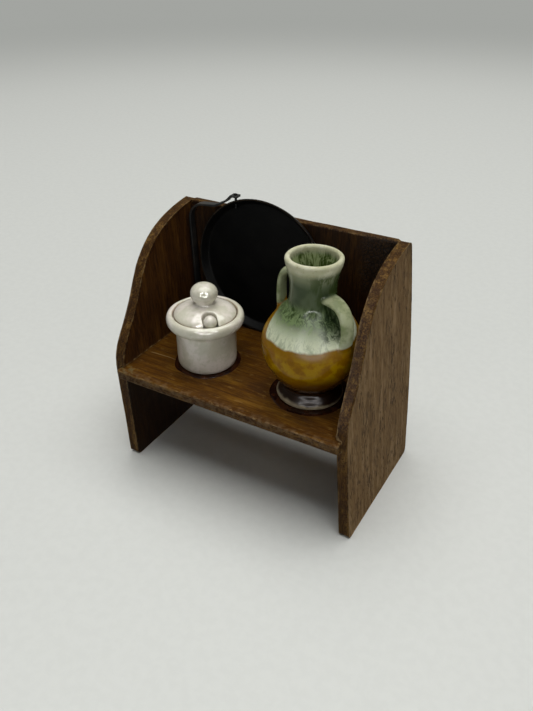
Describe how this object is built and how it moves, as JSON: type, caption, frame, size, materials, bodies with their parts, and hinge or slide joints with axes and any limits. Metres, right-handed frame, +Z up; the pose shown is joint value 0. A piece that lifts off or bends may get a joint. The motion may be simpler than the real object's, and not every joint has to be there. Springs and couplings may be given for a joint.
{
  "type": "dolls house shelf unit with crockery",
  "caption": "Miniature wooden shelf unit with scrolled sides, carrying a lidded honey pot with its spoon, a two-handled jug and a shallow pan with a bail.",
  "frame": {"origin": "The middle of the set's bounding box, on the surface that the shelf unit stands on.", "axes": "+X runs to the right of someone facing the unit's open front, +Y runs from the front to the back, and +Z is up."},
  "size_m": [0.0622, 0.0374, 0.0602],
  "materials": {
    "stained_wood": "brown stain rubbed into open vertical grain, worn lighter at the edges",
    "shelf_wood": "golden brown stain with a satin sheen, grain along the shelf",
    "ivory_glaze": "thick glossy ivory glaze",
    "green_amber_glaze": "glossy glaze running from green through pale white to amber and brown, with a bare cream foot",
    "black_iron": "satin black paint on sheet metal"
  },
  "bodies": {
    "shelf_unit": {"left_side_panel": "stained_wood", "right_side_panel": "stained_wood", "back_panel": "stained_wood", "shelf_board": "shelf_wood"},
    "honey_pot": {"pot_body": "ivory_glaze"},
    "honey_spoon": {"spoon": "ivory_glaze"},
    "lid": {"pot_lid": "ivory_glaze"},
    "jug": {"jug": "green_amber_glaze"},
    "pan": {"pan_dish": "black_iron", "pan_rivet_upper": "black_iron", "pan_rivet_lower": "black_iron"},
    "bail": {"pan_bail": "black_iron"}
  },
  "joints": [
    {"name": "pot_lift", "type": "slide", "parent": "shelf_unit", "child": "honey_pot", "axis": [0, 0, 1], "range_m": [0, 0.04]},
    {"name": "spoon_lift", "type": "slide", "parent": "honey_pot", "child": "honey_spoon", "axis": [0, 0, 1], "range_m": [0, 0.02]},
    {"name": "lid_lift", "type": "slide", "parent": "honey_spoon", "child": "lid", "axis": [0, 0, 1], "range_m": [0, 0.015]},
    {"name": "jug_lift", "type": "slide", "parent": "shelf_unit", "child": "jug", "axis": [-0.0768, 0, 0.997], "range_m": [0, 0.04]},
    {"name": "pan_lift", "type": "slide", "parent": "shelf_unit", "child": "pan", "axis": [0, 0, 1], "range_m": [0, 0.04]},
    {"name": "bail_swing", "type": "hinge", "parent": "pan", "child": "bail", "pos_m": [-0.01488, 0.01355, 0.043], "axis": [0, 0, 1], "range_deg": [0, 50]}
  ]
}
